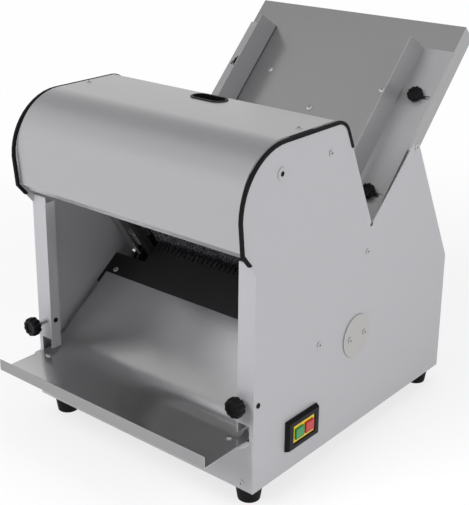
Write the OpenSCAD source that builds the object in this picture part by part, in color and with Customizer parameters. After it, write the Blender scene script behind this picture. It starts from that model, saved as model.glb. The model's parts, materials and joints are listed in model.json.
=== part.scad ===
// Table-top bread slicer: a loaf slides down the rear chute, through two
// counter-moving blade frames, and comes out sliced on the front tray.
// Millimetres. +X is the machine's right as seen from the front, +Y the rear, +Z up.

/* [Body] */
// Outer width over the two side panels
body_w = 560; // [540:1:600]
// Depth of the side panels at the bottom
body_d = 650; // [630:1:690]
// Height of the panels at the hood, above their bottom edge
body_h = 638; // [630:1:660]
// Sheet thickness of panels, base, chute and tray
sheet = 2; // [1.5:0.1:2.5]
// Height of the rubber feet
foot_h = 38; // [24:1:44]
// Top radius of a foot
foot_r = 27; // [20:1:30]
// Distance of the feet from the side and front edges
foot_inset = 36; // [32:1:45]
// Inset of the rear feet from the back
foot_back = 28; // [27:1:45]

/* [Side panels] */
// Drop from the panel's top to where its front starts to bulge
brow_drop = 216; // [205:1:225]
// Forward reach of the bulge
brow_reach = 42; // [30:1:50]
// Radius of the panel's round front shoulder
brow_r = 114; // [100:1:118]
// Drop from the panel's top to the lower corner of the bulge
brow_corner_drop = 173; // [159:1:181]
// Forward place of that corner
brow_corner_y = 36; // [26:1:40]
// Lowest point of the V notch, measured back from the front
v_y = 349; // [340:1:360]
// Lowest point of the V notch, height
v_z = 415; // [405:1:425]
// Lean of the notch's front edge from the vertical
v_lean = 24.5; // [20:0.5:28]
// Rear top corner of the panel, height
rear_top_z = 536; // [525:1:545]
// Rear top corner of the panel, measured back
rear_top_y = 508; // [495:1:520]
// Length of the flat at the rear top corner
rear_flat = 24; // [16:1:30]
// Height where the vertical rear edge starts to slope
rear_bend_z = 261; // [240:1:280]
// Width of the front flange
flange_w = 37; // [35:1:42]
// Depth of the flange's return
return_d = 24; // [18:1:28]
// Radius of the panel's rear top round
top_rear_r = 38; // [25:1:42]

/* [Edge trim] */
// How far the rubber trim stands out of the panel edge
trim_out = 2; // [1.5:0.5:4]
// How far the trim covers the panel
trim_cover = 4.5; // [3.5:0.5:8]

/* [Hood] */
// How far the hood's front lies behind the panel's front edge
hood_set = 5; // [3:0.5:8]
// How far the hood's top stands above the panel's top
hood_rise = 2.5; // [1:0.5:5]
// Gap between the hood's ends and the panels
hood_gap = 5; // [4:0.5:8]
// Depth of the hood, back to its rear edge
hood_rear_y = 222; // [210:1:226]
// Hood pivot, measured back
pivot_y = 63; // [58:1:68]
// Hood pivot, drop from the panel's top
pivot_drop = 55; // [49:1:64]
// Length of the flush handle
handle_w = 76; // [60:1:90]
// Depth of the flush handle
handle_d = 34; // [26:1:38]

/* [Chute and guides] */
// Slope of the chute
chute_angle = 46; // [44:0.5:48]
// Gap between the chute's sides and the panels
chute_gap = 18; // [16:1:28]
// Top edge of the chute, measured back
chute_y = 700.7; // [690:0.1:715]
// Top edge of the chute, height
chute_z = 738.8; // [730:0.1:745]
// Depth of the chute's turned-down sides
chute_flange = 40; // [30:1:44]
// Distance of a guide wall from the chute's side
guide_in = 70; // [64:1:72]
// Height of a guide wall
guide_h = 62; // [45:1:70]
// Width of a guide foot
guide_foot = 73; // [68:1:74]
// Distance of the guide's upper end from the chute's top
guide_start = 64; // [50:1:80]
// Length of a guide
guide_len = 490; // [430:1:500]
// Distance of the guide knobs from the chute's top
knob_rows = [178, 407]; // [100:1:450]
// Distance of the guide knobs from the chute's side
knob_in = 33; // [30:1:40]

/* [Knobs] */
// Outer diameter of a guide knob
guide_knob_d = 33; // [28:1:40]
// Thickness of a guide knob
guide_knob_h = 12; // [10:1:16]
// Outer diameter of a front knob
front_knob_d = 38; // [34:1:44]
// Thickness of a front knob
front_knob_h = 19; // [16:1:24]
// Lobes around a knob
knob_lobes = 10; // [6:1:12]
// Diameter of a knob's stud
stud_d = 8; // [6:1:10]
// Height of the front knobs
front_knob_z = 174; // [165:1:185]
// Distance of the front knobs from the body's side
front_knob_in = 26; // [24:1:27]
// Reach of the left front knob, which is screwed out
left_knob_reach = 28; // [20:1:40]
// Reach of the right front knob
right_knob_reach = 9; // [6:1:15]

/* [Discharge] */
// Distance of the tray's ends from the body's sides
tray_side = 13; // [12:1:20]
// Forward reach of the tray
tray_reach = 112; // [90:1:130]
// Height of the tray's flat
tray_z = 106; // [104:1:110]
// Height of the front lip above the flat
lip_h = 21; // [15:1:26]
// Radius between the flat and the slope
tray_r = 90; // [70:1:92]
// Upper end of the tray's slope, measured back
tray_top_y = 178; // [174:1:182]
// Slope of the discharge plane, in which the comb and the back of the tray lie
discharge_angle = 37; // [36.5:0.5:39]
// Forward reach of the ledge that carries the tray
ledge_d = 27; // [20:1:32]

/* [Blade drive] */
// Crankshaft, measured back
crank_y = 313; // [308:1:318]
// Crankshaft, height
crank_z = 196; // [190:1:202]
// Lean of the blade plane from the vertical
blade_lean = 32.9; // [32:0.1:34]
// Distance between blades, the slice thickness
blade_pitch = 12; // [11:0.5:12]
// Width of a blade
blade_w = 10; // [8:0.5:11]
// Thickness of a blade
blade_t = 0.6; // [0.5:0.1:1]
// Throw of the eccentrics
throw = 15; // [12:0.5:16]
// Radius of the crankshaft
shaft_r = 12; // [10:0.5:12.5]
// Lower bar of a blade frame, distance from the crankshaft
low_bar = 45; // [45:1:50]
// Room above a blade frame's upper bar, along the stroke up to the hood's top
frame_room = 147.5; // [130:0.5:170]
// Height of a frame bar
bar_h = 24; // [20:1:26]
// Thickness of a frame
bar_t = 16; // [12:1:18]
// Gap between the two frames
frame_gap = 16; // [14:1:18]

/* [Motor] */
// Distance of the motor shaft from the rear
motor_back = 130; // [120:1:150]
// Motor shaft, height
motor_z = 102; // [95:1:110]
// Radius of the motor
motor_r = 62; // [55:1:66]
// Length of the motor
motor_len = 230; // [200:1:250]
// Outer radius of the driven pulley
big_pulley_r = 78; // [70:1:80]
// Outer radius of the motor pulley
small_pulley_r = 36; // [30:1:40]

/* [Switch] */
// Switch middle, measured back
switch_y = 140; // [130:1:150]
// Switch middle, height
switch_z = 74; // [68:1:82]
// Width of the switch frame
switch_w = 96; // [86:1:104]
// Height of the switch frame
switch_h = 62; // [54:1:70]
// How far the frame stands out of the panel
switch_out = 10; // [9:1:14]

/* [Hidden] */
$fn = 48;
// Overrun of every cut past the face it goes through
cut = 1;
// Running clearance of a shaft or stud in its hole, on the radius
run_fit = 0.05;
// Clearance between pieces that slide past each other
slide_fit = 1;
// Clearance of the slide blocks in their channels
block_fit = 0.3;
// Facets in each round stretch of an outline
arc_steps = 12;
half_w = body_w / 2;
inner_x = half_w - sheet;
flange_x = half_w - flange_w;
chute_half = inner_x - chute_gap;
chute_w = 2 * chute_half;
guide_x = chute_half - guide_in;
knob_x = chute_half - knob_in;
front_knob_x = half_w - front_knob_in;
tray_half = half_w - tray_side;
brow_z = body_h - brow_drop;
brow_corner_z = body_h - brow_corner_drop;
pivot_z = body_h - pivot_drop;
motor_y = body_d - motor_back;
// The part's origin lies under the middle of its depth
chute_back = chute_y + chute_flange * sin(chute_angle);
y_mid = (chute_back - tray_reach - sheet) / 2;
hood_half = inner_x - hood_gap;
hood_t = 1.5;
hood_top_z = body_h + hood_rise;
shoulder = [brow_r - brow_reach, body_h - brow_r];
frame_in = frame_gap / 2;
frame_out = frame_in + bar_t;
high_bar = (hood_top_z - crank_z) / cos(blade_lean) - frame_room;
// Space beside a frame's columns for yokes, channels, pulleys and bearings
drive_space = 80;
column_x = inner_x - drive_space;
// Least clearance between the outer blades and the columns
blade_side = 14;
blade_count = 1 + 2 * floor((column_x - blade_side) / blade_pitch);
column_w = 14;
yoke_t = 6;
yoke_gap = 3;
front_yoke_x = column_x + column_w + yoke_gap;
rear_yoke_x = front_yoke_x + yoke_t + yoke_gap;
ecc_r = shaft_r + throw + sheet / 2;
// The linear follow of the frames departs from the true motion by this share of the throw
follow_share = 0.21;
yoke_half_h = ecc_r + follow_share * throw + slide_fit;
yoke_half_w = ecc_r + throw + slide_fit;
yoke_wall = 8;
channel_gap = 10;
channel_x = column_x + column_w + channel_gap;
channel_w = 24;
channel_room = 6;
channel_half = frame_out + channel_room;
channel_t = 3;
channel_low = 90;
channel_short = 42;
channel_len = high_bar - channel_short;
belt_w = 10;
belt_h = 6;
belt_seat = 0.4;
groove_d = 7;
pulley_t = 18;
pulley_gap = 6;
bearing_t = 14;
pulley_x = inner_x - bearing_t - pulley_gap - pulley_t;
screw_r = 6;
screw_h = 3;

// Moves a child from machine coordinates to the part's frame
module place() {
    translate([0, -y_mid, foot_h]) children();
}

// Draws a child for the right side, or mirrored for the left
module side(right) {
    mirror([right ? 0 : 1, 0, 0]) children();
}

// Draws a child on both sides
module both() {
    for (right = [true, false]) side(right) children();
}

// Extrudes an outline drawn in depth and height from x0 to x1
module across(x0, x1) {
    translate([x0, 0, 0]) rotate([90, 0, 90]) linear_extrude(x1 - x0) children();
}

// Chute frame: local Y runs up the slope from the top edge, local Z stands off the plate
module on_chute() {
    translate([0, chute_y, chute_z]) rotate([chute_angle, 0, 0]) children();
}

// Blade frame: local Z runs up the stroke from the crankshaft, local Y to the rear
module on_blades() {
    translate([0, crank_y, crank_z]) rotate([blade_lean, 0, 0]) children();
}

// Box from one corner to the other
module box(low, high) {
    translate(low) cube(high - low);
}

// Cylinder along X between two places
module rod_x(r, x0, x1) {
    translate([x0, 0, 0]) rotate([0, 90, 0]) cylinder(r = r, h = x1 - x0);
}

function arc(c, r, a0, a1) = [
    for (i = [0:arc_steps])
        let (a = a0 + (a1 - a0) * i / arc_steps) c + r * [cos(a), sin(a)]
];
function left_of(a, b) = [a[1] - b[1], b[0] - a[0]] / norm(b - a);
function shifted(p, t) = [
    for (i = [0:len(p) - 1])
        let (
            before = left_of(p[max(i - 1, 0)], p[max(i, 1)]),
            after = left_of(p[min(i, len(p) - 2)], p[min(i + 1, len(p) - 1)]),
            middle = (before + after) / norm(before + after)
        ) p[i] + middle * t / (middle * before)
];

// Sheet of thickness t that follows a path on its left
module bent_sheet(path, t) {
    other = shifted(path, t);
    polygon(concat(path, [for (i = [len(path) - 1:-1:0]) other[i]]));
}

// Side panel outline, in depth and height
v_top_y = v_y - (body_h - v_z) * tan(v_lean);
top_rear = [v_top_y - top_rear_r * tan((90 - v_lean) / 2), body_h - top_rear_r];
panel_path = concat(
    [[0, 0], [0, brow_z], [-brow_corner_y, brow_corner_z]],
    arc(shoulder, brow_r, 180, 90),
    arc(top_rear, top_rear_r, 90, v_lean),
    [[v_y, v_z], [rear_top_y - rear_flat, rear_top_z], [rear_top_y, rear_top_z]],
    [[body_d, rear_bend_z], [body_d, 0]]
);
notch_relief_r = 5;
side_hole_r = 4;
side_hole_y = 12;
bearing_r = 34;
shaft_room = 4;
shaft_hole_r = shaft_r + shaft_room;
notch_gap = 4;
notch_x = tray_half + notch_gap;
notch_low = 5;
notch_high = 28;
return_low = 8;
// Tops of the flange and its return, under the sweep of the opening hood
flange_rise = 16;
return_rise = 4;
switch_cut_w = 68;
switch_cut_h = 34;

module panel_outline() {
    difference() {
        polygon(panel_path);
        translate([v_y, v_z]) circle(notch_relief_r);
    }
}

module side_panel(right) {
    color("lightgray") place() side(right) difference() {
        union() {
            across(inner_x, half_w) panel_outline();
            box([flange_x, 0, sheet], [half_w, sheet, brow_z + flange_rise]);
            box([flange_x, 0, sheet], [flange_x + sheet, return_d, brow_z + return_rise]);
        }
        // Notch that lets the tray through the flange
        box([flange_x + sheet, -cut, tray_z - notch_low], [notch_x, sheet + cut, tray_z + notch_high]);
        box([flange_x - cut, -cut, tray_z - notch_low],
            [flange_x + sheet + cut, return_d + cut, tray_z + return_low]);
        translate([0, crank_y, crank_z]) rod_x(shaft_hole_r, inner_x - cut, half_w + cut);
        translate([0, pivot_y, pivot_z]) rod_x(pivot_r + run_fit, inner_x - cut, half_w + cut);
        translate([0, side_hole_y, front_knob_z]) rod_x(side_hole_r, flange_x - cut, half_w + cut);
        translate([front_knob_x, 0, front_knob_z]) rotate([-90, 0, 0])
            translate([0, 0, -cut]) cylinder(r = stud_d / 2 + run_fit, h = sheet + cut + cut);
        if (right)
            translate([0, switch_y - switch_cut_w / 2, switch_z - switch_cut_h / 2])
                box([inner_x - cut, 0, 0], [half_w + cut, switch_cut_w, switch_cut_h]);
    }
}
module side_panel_left() { side_panel(false); }
module side_panel_right() { side_panel(true); }

// Rubber trim on the panel edge, from the bulge's lower corner round to the notch
trim_side = 2;
trim_tail = 23;
trim_end_drop = 56;
trim_end_z = body_h - trim_end_drop;
trim_far = 400;
module edge_trim(right) {
    color("black") place() side(right) difference() {
        across(inner_x - trim_side, half_w + trim_side) intersection() {
            difference() {
                offset(r = trim_out) polygon(panel_path);
                offset(delta = -trim_cover) polygon(panel_path);
            }
            polygon([
                [-trim_far, brow_corner_z - trim_tail], [pivot_y, brow_corner_z - trim_tail],
                [pivot_y, trim_end_z], [trim_far, trim_end_z],
                [trim_far, body_h + trim_far], [-trim_far, body_h + trim_far]
            ]);
        }
        across(inner_x, half_w) polygon(panel_path);
    }
}
module edge_trim_left() { edge_trim(false); }
module edge_trim_right() { edge_trim(true); }

module base_plate() {
    color("gray") place() box([-inner_x, sheet, 0], [inner_x, body_d - sheet, sheet]);
}

ledge_side = 5;
ledge_half = half_w - ledge_side;
ledge_round = 12;
front_low = 2;
front_panel_top = tray_z - sheet;
front_screw_in = 23;
front_screw_x = half_w - front_screw_in;
front_screw_z = 16;
// Front panel under the tray, with a rounded ledge that carries it
module front_panel() {
    color("lightgray") place() {
        box([-half_w, -sheet, front_low], [half_w, 0, front_panel_top - sheet]);
        translate([0, 0, front_panel_top - sheet]) linear_extrude(sheet) {
            translate([-ledge_half, ledge_round - ledge_d])
                square([ledge_half + ledge_half, ledge_d - ledge_round]);
            translate([ledge_round - ledge_half, -ledge_d])
                square([2 * (ledge_half - ledge_round), ledge_d]);
            for (k = [-1, 1])
                translate([k * (ledge_half - ledge_round), ledge_round - ledge_d]) circle(ledge_round);
        }
    }
}

rear_cover_drop = 66;
rear_cover_top = rear_top_z - rear_cover_drop;
rear_slope_y = body_d - (body_d - rear_top_y) * (rear_cover_top - rear_bend_z) / (rear_top_z - rear_bend_z);
rear_lip = 18;
gland_in = 98;
gland_x = gland_in - inner_x;
gland_z = 60;
gland_r = 11;
gland_len = 18;
gland_bore_r = 4;
gland_nut_h = 6;
// Rear cover: upright sheet that leans in below the chute, with a lip at the top
module rear_cover() {
    color("lightgray") place() difference() {
        across(-inner_x, inner_x) bent_sheet([
            [body_d, sheet], [body_d, rear_bend_z], [rear_slope_y, rear_cover_top],
            [rear_slope_y - rear_lip, rear_cover_top]
        ], sheet);
        translate([gland_x, body_d - sheet - cut, gland_z]) rotate([-90, 0, 0])
            cylinder(r = gland_bore_r, h = sheet + cut + cut);
    }
}

module cable_gland() {
    color("black") place() translate([gland_x, body_d, gland_z]) rotate([-90, 0, 0]) difference() {
        union() {
            cylinder(r = gland_r, h = gland_nut_h, $fn = 6);
            cylinder(r = gland_r - sheet, h = gland_len);
        }
        translate([0, 0, -cut]) cylinder(r = gland_bore_r, h = gland_len + cut + cut);
    }
}

foot_taper = 6;
module feet() {
    color("black") translate([0, -y_mid, 0])
        for (x = [-half_w + foot_inset, half_w - foot_inset], y = [foot_inset, body_d - foot_back])
            translate([x, y, 0]) cylinder(r1 = foot_r - foot_taper, r2 = foot_r, h = foot_h);
}

// Hood outline from the lower front flange over the shoulder to the rear edge
hood_lip = 14;
hood_rear_drop = 16;
hood_r = brow_r - hood_set;
hood_shoulder = [hood_r - brow_reach + hood_set, hood_top_z - hood_r];
hood_low = [hood_set - brow_corner_y, brow_corner_z + sheet];
hood_path = concat(
    [hood_low + hood_lip * [1, -1], hood_low],
    arc(hood_shoulder, hood_r, 180, 90),
    [[hood_rear_y, hood_top_z], [hood_rear_y, hood_top_z - hood_rear_drop]]
);
handle_x = 6;
handle_back = 8;
handle_y0 = hood_rear_y - handle_back - handle_d;
handle_end = handle_w / 2 - handle_d / 2;
handle_rim = 3;
handle_depth = 14;
handle_wall = 2;
// Outline of the flush handle, grown by g on every side
module handle_shape(g) {
    for (k = [-1, 1])
        translate([handle_x + k * handle_end, handle_y0 + handle_d / 2]) circle(r = handle_d / 2 + g);
    translate([handle_x - handle_end, handle_y0 - g]) square([2 * handle_end, handle_d + g + g]);
}

module hood() {
    color("silver") place() difference() {
        across(-hood_half, hood_half) bent_sheet(hood_path, -hood_t);
        translate([0, 0, hood_top_z - handle_depth]) linear_extrude(handle_depth + cut) handle_shape(0);
    }
}

// Flush pull handle: a rimmed cup let into the hood
module hood_handle() {
    color("black") place() difference() {
        union() {
            translate([0, 0, hood_top_z]) linear_extrude(sheet) handle_shape(handle_rim);
            translate([0, 0, hood_top_z - handle_depth]) linear_extrude(handle_depth) handle_shape(-run_fit);
        }
        translate([0, 0, hood_top_z - handle_depth + handle_wall])
            linear_extrude(handle_depth + cut) handle_shape(-handle_wall);
    }
}

bracket_in = 4;
bracket_x = hood_half - bracket_in;
bracket_t = 3;
bracket_eye_r = 16;
bracket_y0 = 102;
bracket_y1 = 164;
bracket_reach = 30;
pivot_r = 5;
pivot_head_r = 11;
pivot_head_h = 7;
pivot_ring_r = 15;
pivot_collar_r = 9;
pivot_nut_r = 9;
pivot_nut_h = 7;
bracket_top = hood_top_z - hood_t;
// Bracket that carries the hood and turns on the pivot bolt
module hood_bracket(right) {
    color("gray") place() side(right) difference() {
        union() {
            across(bracket_x - bracket_t, bracket_x) polygon([
                [pivot_y - bracket_eye_r, pivot_z], [pivot_y, pivot_z - bracket_eye_r],
                [bracket_y1, bracket_top - bracket_eye_r], [bracket_y1, bracket_top],
                [bracket_y0, bracket_top]
            ]);
            translate([0, pivot_y, pivot_z]) rod_x(bracket_eye_r, bracket_x - bracket_t, bracket_x);
            box([bracket_x - bracket_reach, bracket_y0, bracket_top - bracket_t],
                [bracket_x, bracket_y1, bracket_top]);
        }
        translate([0, pivot_y, pivot_z]) rod_x(pivot_r + run_fit, bracket_x - bracket_t - cut, bracket_x + cut);
    }
}
module hood_bracket_left() { hood_bracket(false); }
module hood_bracket_right() { hood_bracket(true); }

module pivot_bolt(right) {
    color("silver") place() side(right) translate([0, pivot_y, pivot_z]) {
        rod_x(pivot_r, bracket_x - bracket_t - pivot_nut_h, half_w + screw_h);
        rod_x(pivot_ring_r, half_w, half_w + screw_h);
        rod_x(pivot_head_r, half_w + screw_h, half_w + pivot_head_h);
        rod_x(pivot_collar_r, bracket_x + slide_fit / 2, inner_x);
        rod_x(pivot_nut_r, bracket_x - bracket_t - pivot_nut_h, bracket_x - bracket_t - slide_fit / 2);
    }
}
module pivot_bolt_left() { pivot_bolt(false); }
module pivot_bolt_right() { pivot_bolt(true); }

hood_screw_in = 16;
hood_screw_x = hood_half - hood_screw_in;
hood_screw_y = 138;
module screw_head() {
    cylinder(r1 = screw_r, r2 = screw_r - screw_h / 2, h = screw_h);
}
module hood_screws() {
    color("silver") place() both()
        translate([hood_screw_x, hood_screw_y, hood_top_z]) screw_head();
}

// Places along the slope where the blade plane's rear and front clearances begin
function slope_at(n) = (chute_reach - n) / cos(chute_angle - blade_lean);
chute_reach = (chute_y - crank_y) * cos(blade_lean) + (chute_z - crank_z) * sin(blade_lean);
tongue_gap = 4;
tongue_half = column_x - tongue_gap;
shoulder_gap = 6;
chute_shoulder = slope_at(channel_half + channel_t + shoulder_gap);
chute_end = slope_at(frame_in + sheet);
comb_root_gap = 8;
comb_gap = 16;
comb_lap = 25;
comb_drop = 2;
comb_slot = 3;
comb_tab = 24;

// The discharge plane starts where the chute meets the blades
meet_y = chute_y - slope_at(0) * cos(chute_angle);
meet_z = chute_z - slope_at(0) * sin(chute_angle);
function past_blades(n) = n / cos(discharge_angle - blade_lean);
module on_discharge() {
    translate([0, meet_y, meet_z]) rotate([discharge_angle, 0, 0]) children();
}
comb_tip = past_blades(-blade_w / 2 - sheet);
comb_root = past_blades(blade_w / 2 + comb_root_gap);
comb_wide = past_blades(channel_half + channel_t + comb_gap);
comb_end = (meet_y - tray_top_y) / cos(discharge_angle) + comb_lap;
tray_over = 1.75;
tray_top_z = meet_z - (meet_y - tray_top_y) * tan(discharge_angle) + tray_over;
chute_bolt_in = 45;
chute_bolt_x = guide_x - chute_bolt_in;
chute_bolt_s = 177;
chute_mid_bolt_s = 250;
chute_bolts = [[-chute_bolt_x, chute_bolt_s], [chute_bolt_x, chute_bolt_s], [0, chute_mid_bolt_s]];

// Chute plate with turned-down sides; its lower tongue reaches between the blade frames' columns
module chute_plate() {
    color("silver") place() on_chute() difference() {
        union() {
            box([-chute_w / 2, -chute_shoulder, -sheet], [chute_w / 2, 0, 0]);
            box([-tongue_half, -chute_end, -sheet], [tongue_half, sheet - chute_shoulder, 0]);
            both() box([chute_w / 2 - sheet, -chute_shoulder, -chute_flange], [chute_w / 2, 0, 0]);
        }
        for (s = knob_rows, x = [-knob_x, knob_x])
            translate([x, -s, -sheet - cut]) cylinder(r = stud_d / 2 + run_fit, h = sheet + cut + cut);
    }
}

rail_top = 4;
rail_depth = 20;
rail_start = 296;
rail_lug_high = 300;
rail_lug_low = 521;
rail_lugs = [rail_lug_high, rail_lug_low];
lug_len = 26;
lug_h = 8;
// Rail that joins the chute's side to the panel
module chute_rail(right) {
    color("gray") place() side(right) on_chute() {
        box([chute_w / 2, -chute_shoulder, -rail_depth], [inner_x, -rail_start, -rail_top]);
        for (s = rail_lugs)
            box([inner_x - sheet - sheet, -s - lug_len / 2, -rail_depth],
                [inner_x, -s + lug_len / 2, lug_h]);
    }
}
module chute_rail_left() { chute_rail(false); }
module chute_rail_right() { chute_rail(true); }

module chute_screws() {
    color("silver") place() on_chute()
        for (p = chute_bolts) translate([p[0], -p[1], 0]) screw_head();
}

guide_lift = 0.3;
slot_in = 20;
slot_out = 30;
slot_gap = 1;
slot_w = stud_d + slot_gap;
guide_top_cut = 30;
guide_bend = 4;
// Loaf guide: upright wall with a slotted foot, clamped by two knobs
module guide(right) {
    color("silver") place() side(right) on_chute() translate([0, 0, guide_lift]) difference() {
        union() {
            translate([guide_x, 0, 0]) rotate([90, 0, 90]) linear_extrude(sheet) polygon([
                [-guide_start, 0], [-guide_start - guide_top_cut / 2, guide_h],
                [-guide_start - guide_len, guide_h], [-guide_start - guide_len, 0]
            ]);
            box([guide_x, -guide_start - guide_len, 0], [guide_x + guide_foot, -guide_start, sheet]);
        }
        for (s = knob_rows)
            box([knob_x - slot_in, -s - slot_w / 2, -cut], [knob_x + slot_out, -s + slot_w / 2, sheet + cut]);
        // Round outside of the bend
        difference() {
            box([guide_x - cut, -guide_start - guide_len - cut, -cut],
                [guide_x + guide_bend, cut - guide_start, guide_bend]);
            translate([guide_x + guide_bend, cut + cut - guide_start, guide_bend])
                rotate([90, 0, 0]) cylinder(r = guide_bend, h = guide_len + cut + cut + cut + cut);
        }
    }
}
module guide_left() { guide(false); }
module guide_right() { guide(true); }

lobe_share = 0.21;
dish_share = 0.55;
dish_d = 2;
collar_d = 11;
stud_end = 8;
// Star knob along +Z: a stud from -below, a collar of the given height, then the lobed head
module star_knob(knob_d, knob_h, collar, below) {
    core = knob_d / 2 - lobe_share * knob_d / 2;
    difference() {
        union() {
            translate([0, 0, collar]) linear_extrude(knob_h) {
                circle(core);
                for (i = [0:knob_lobes - 1])
                    rotate(i * 360 / knob_lobes) translate([core, 0])
                        circle(lobe_share * knob_d / 2, $fn = 24);
            }
            cylinder(d = collar_d, h = collar + knob_h / 2);
        }
        translate([0, 0, collar + knob_h - dish_d]) cylinder(r = dish_share * knob_d / 2, h = dish_d + cut);
    }
    translate([0, 0, -below]) cylinder(d = stud_d, h = below);
}

guide_collar = 2;
guide_washer = guide_lift + sheet + guide_lift;
module guide_knob(right, row) {
    color("black") place() side(right) on_chute()
        translate([knob_x, -knob_rows[row], guide_washer])
            star_knob(guide_knob_d, guide_knob_h, guide_collar, guide_washer + sheet + stud_end);
}
module guide_knob_upper_left() { guide_knob(false, 0); }
module guide_knob_lower_left() { guide_knob(false, 1); }
module guide_knob_upper_right() { guide_knob(true, 0); }
module guide_knob_lower_right() { guide_knob(true, 1); }

nut_h = 7;
nut_r = 8;
nut_gap = 0.5;
module front_knob(right, reach) {
    color("black") place() side(right) translate([front_knob_x, -nut_gap, front_knob_z]) rotate([90, 0, 0])
        star_knob(front_knob_d, front_knob_h, reach, sheet + nut_h + stud_end);
}
module front_knob_left() { front_knob(false, left_knob_reach); }
module front_knob_right() { front_knob(true, right_knob_reach); }

module stud_nuts() {
    color("silver") place() both() translate([front_knob_x, sheet, front_knob_z]) rotate([-90, 0, 0])
        difference() {
            cylinder(r = nut_r, h = nut_h, $fn = 6);
            translate([0, 0, -cut]) cylinder(r = stud_d / 2 + run_fit, h = nut_h + cut + cut);
        }
}

// Discharge tray: lip, flat, round and slope in one bent sheet
tray_rise = tray_r * (1 - cos(discharge_angle));
tray_run = (tray_top_z - tray_z - tray_rise) / tan(discharge_angle);
tray_flat_y = tray_top_y - tray_run - tray_r * sin(discharge_angle);
module discharge_tray() {
    color("silver") place() across(-tray_half, tray_half) bent_sheet(concat(
        [[-tray_reach, tray_z + lip_h], [-tray_reach, tray_z]],
        arc([tray_flat_y, tray_z + tray_r], tray_r, -90, discharge_angle - 90),
        [[tray_top_y, tray_top_z]]
    ), -sheet);
}

// Comb plate behind the tray: its fingers reach past the blades and carry the slices
module discharge_comb() {
    color("gray") place() on_discharge() difference() {
        union() {
            box([-tongue_half, -comb_wide - sheet, -sheet - comb_drop], [tongue_half, -comb_tip, -comb_drop]);
            box([-inner_x, -comb_end, -sheet - comb_drop], [inner_x, -comb_wide, -comb_drop]);
            both() box([inner_x - sheet, -comb_end, -comb_tab], [inner_x, -comb_wide, -comb_drop]);
        }
        for (i = [0:blade_count - 1])
            translate([(i - (blade_count - 1) / 2) * blade_pitch, 0, 0])
                box([-comb_slot / 2, -comb_root, -comb_drop - sheet - cut],
                    [comb_slot / 2, -comb_tip + cut, cut]);
    }
}

tray_screw_in = 29;
tray_screw_x = tray_half - tray_screw_in;
tray_screw_y = -14;
module tray_screws() {
    color("silver") place() both() translate([tray_screw_x, tray_screw_y, tray_z]) screw_head();
}

// Welded blade frame, in the blade frame's axes; the rear one is the front one mirrored
module blade_frame(rear) {
    place() on_blades() mirror([0, rear ? 1 : 0, 0]) {
        for (z = [low_bar, high_bar])
            box([-column_x - column_w, -frame_out, z], [column_x + column_w, -frame_in, z + bar_h]);
        both() box([column_x, -frame_out, low_bar], [column_x + column_w, -frame_in, high_bar + bar_h]);
    }
}
module front_frame() { color("dimgray") blade_frame(false); }
module rear_frame() { color("dimgray") blade_frame(true); }

// Blades of one frame: every second place, with ends that hook onto the frame's bars
module blades(rear) {
    place() on_blades() mirror([0, rear ? 1 : 0, 0])
        for (i = [(rear ? 1 : 0):2:blade_count - 1])
            translate([(i - (blade_count - 1) / 2) * blade_pitch - blade_t / 2, 0, 0]) {
                box([0, -blade_w / 2, low_bar], [blade_t, blade_w / 2, high_bar + bar_h]);
                for (z = [low_bar, high_bar + bar_h / 2])
                    box([0, -frame_in, z], [blade_t, 0, z + bar_h / 2]);
            }
}
module front_blades() { color("silver") blades(false); }
module rear_blades() { color("silver") blades(true); }

// Yoke on a frame's column: its wide eye follows the eccentric.
// The rear yoke's arm crosses above the front yoke, clear of both strokes.
rear_arm = low_bar + throw + throw + yoke_gap;
module yoke(rear, right) {
    x = rear ? rear_yoke_x : front_yoke_x;
    arm = rear ? rear_arm : low_bar + bar_h / 4;
    arm_top = rear ? rear_arm + bar_h : low_bar + bar_h;
    color("gray") place() side(right) on_blades() mirror([0, rear ? 1 : 0, 0]) {
        difference() {
            box([x, -yoke_half_w - yoke_wall, -yoke_half_h - yoke_wall],
                [x + yoke_t, yoke_half_w + yoke_wall, low_bar]);
            box([x - cut, -yoke_half_w, -yoke_half_h], [x + yoke_t + cut, yoke_half_w, yoke_half_h]);
        }
        box([x, -frame_out, low_bar], [x + yoke_t, -frame_in, arm_top]);
        box([column_x + column_w, -frame_out, arm], [x, -frame_in, arm_top]);
    }
}
module front_yoke_left() { yoke(false, false); }
module front_yoke_right() { yoke(false, true); }
module rear_yoke_left() { yoke(true, false); }
module rear_yoke_right() { yoke(true, true); }

block_low = 130;
block_top = 32;
block_rows = [block_low, high_bar - block_top];
block_h = 30;
block_far = channel_x + channel_w - channel_t - block_fit;
// Plastic slide blocks on a frame's columns, running in the guide channels
module slide_blocks(rear) {
    place() on_blades() mirror([0, rear ? 1 : 0, 0]) both()
        for (z = block_rows)
            box([column_x + column_w, -frame_out, z - block_h / 2],
                [block_far, -frame_in / 2, z + block_h / 2]);
}
module front_slide_blocks() { color("white") slide_blocks(false); }
module rear_slide_blocks() { color("white") slide_blocks(true); }

channel_foot_low = 20;
channel_foot_top = 50;
channel_feet = [channel_foot_low, channel_len - channel_foot_top];
channel_foot_h = 30;
// Guide channel, open towards the frames, with two feet that stand off the panel
module guide_channel(right) {
    color("gray") place() side(right) on_blades() translate([channel_x, 0, channel_low]) {
        box([0, -channel_half - channel_t, 0], [channel_w, -channel_half, channel_len]);
        box([0, channel_half, 0], [channel_w, channel_half + channel_t, channel_len]);
        box([channel_w - channel_t, -channel_half, 0], [channel_w, channel_half, channel_len]);
        for (z = channel_feet)
            box([channel_w, -channel_half / 2, z],
                [inner_x - channel_x, channel_half / 2, z + channel_foot_h]);
    }
}
module guide_channel_left() { guide_channel(false); }
module guide_channel_right() { guide_channel(true); }

shaft_short = 1;
shaft_end = inner_x - shaft_short;
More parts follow.
